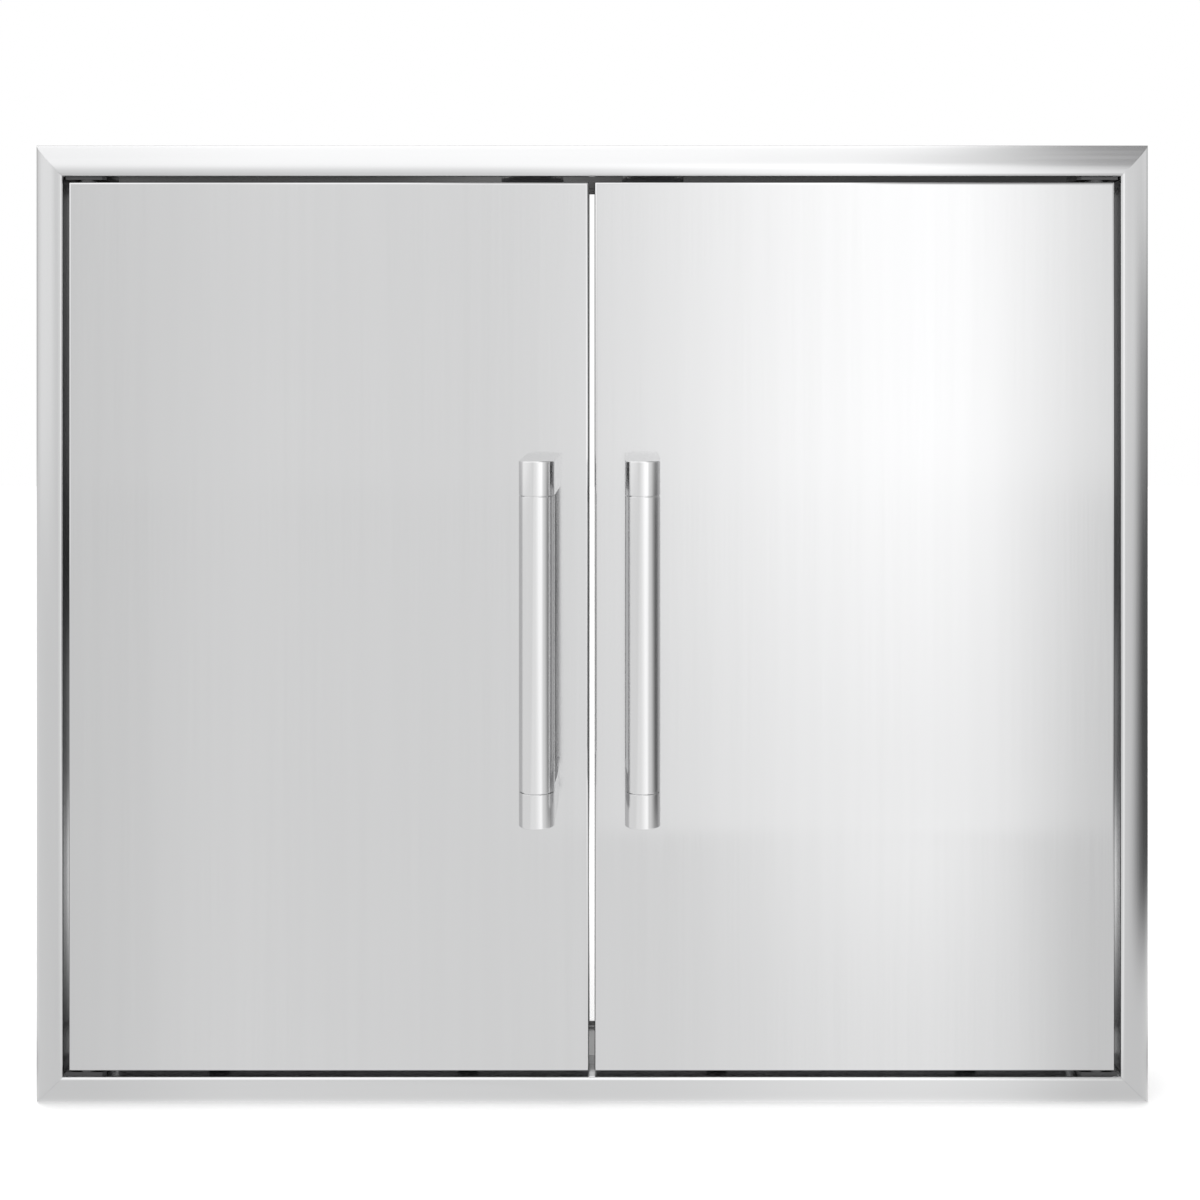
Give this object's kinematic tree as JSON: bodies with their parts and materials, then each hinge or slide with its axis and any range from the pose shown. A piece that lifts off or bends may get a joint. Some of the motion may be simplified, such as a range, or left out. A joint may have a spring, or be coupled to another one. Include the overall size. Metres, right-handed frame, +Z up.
{
  "type": "access door",
  "caption": "Built-in double access door for an outdoor kitchen island: mitred crowned frame with sleeve, two flat hollow doors, vertical bar handles, lift-off hinges.",
  "frame": {"origin": "centre of the wall cut-out on the wall's face, where the back of the bezel meets it", "axes": "+X to the right seen from the front, -Y out of the wall towards the user, +Z up"},
  "size_m": [0.787, 0.152, 0.677],
  "materials": {
    "satin_steel": "fine vertical satin brushing",
    "rail_steel": "satin, brushed along each rail",
    "handle_steel": "smooth satin",
    "plain_steel": "mill finish sheet",
    "fastener_steel": "bright fastener",
    "nylon": "natural nylon",
    "grey_plastic": "moulded, fine texture",
    "ferrite": "sintered, matt",
    "black_rubber": "matt"
  },
  "bodies": {
    "frame": {"bezel_top_rail": "rail_steel", "bezel_bottom_rail": "rail_steel", "bezel_left_rail": "rail_steel", "bezel_right_rail": "rail_steel", "sleeve_top": "plain_steel", "sleeve_bottom": "plain_steel", "sleeve_left": "plain_steel", "sleeve_right": "plain_steel", "lower_door_stop": "plain_steel", "stop_pads": "black_rubber", "left_upper_hinge_plate": "plain_steel", "right_upper_hinge_plate": "plain_steel", "left_lower_hinge_plate": "plain_steel", "right_lower_hinge_plate": "plain_steel", "left_lower_hinge_pin": "fastener_steel", "right_lower_hinge_pin": "fastener_steel", "left_catch_housing": "grey_plastic", "right_catch_housing": "grey_plastic", "left_catch_magnet": "ferrite", "right_catch_magnet": "ferrite", "left_catch_poles": "plain_steel", "right_catch_poles": "plain_steel", "catch_screws": "fastener_steel"},
    "left_door": {"left_door_skin": "satin_steel", "left_door_liner": "plain_steel", "left_door_stiffener": "plain_steel", "left_upper_bush": "nylon", "left_lower_bush": "nylon", "left_bolt_guide": "plain_steel", "left_bolt_spring": "fastener_steel", "left_handle_tube": "handle_steel", "left_handle_upper_post": "handle_steel", "left_handle_lower_post": "handle_steel", "left_handle_screws": "fastener_steel", "left_handle_washers": "fastener_steel", "left_strike_plate": "plain_steel", "left_strike_rivets": "fastener_steel"},
    "left_bolt": {"left_hinge_bolt": "fastener_steel", "left_bolt_clip": "fastener_steel"},
    "right_door": {"right_door_skin": "satin_steel", "right_door_liner": "plain_steel", "right_door_stiffener": "plain_steel", "right_upper_bush": "nylon", "right_lower_bush": "nylon", "right_bolt_guide": "plain_steel", "right_bolt_spring": "fastener_steel", "right_handle_tube": "handle_steel", "right_handle_upper_post": "handle_steel", "right_handle_lower_post": "handle_steel", "right_handle_screws": "fastener_steel", "right_handle_washers": "fastener_steel", "right_strike_plate": "plain_steel", "right_strike_rivets": "fastener_steel"},
    "right_bolt": {"right_hinge_bolt": "fastener_steel", "right_bolt_clip": "fastener_steel"}
  },
  "joints": [
    {"name": "left_door_hinge", "type": "hinge", "parent": "frame", "child": "left_door", "pos_m": [-0.35425, -0.01, 0], "axis": [0, 0, -1], "range_deg": [0, 110]},
    {"name": "right_door_hinge", "type": "hinge", "parent": "frame", "child": "right_door", "pos_m": [0.35425, -0.01, 0], "axis": [0, 0, 1], "range_deg": [0, 110]},
    {"name": "left_bolt_slide", "type": "slide", "parent": "left_door", "child": "left_bolt", "axis": [0, 0, -1], "range_m": [0, 0.01], "stiffness_N_per_m": 800, "springref_m": -0.012, "deforming": ["left_bolt_spring"]},
    {"name": "right_bolt_slide", "type": "slide", "parent": "right_door", "child": "right_bolt", "axis": [0, 0, -1], "range_m": [0, 0.01], "stiffness_N_per_m": 800, "springref_m": -0.012, "deforming": ["right_bolt_spring"]}
  ]
}
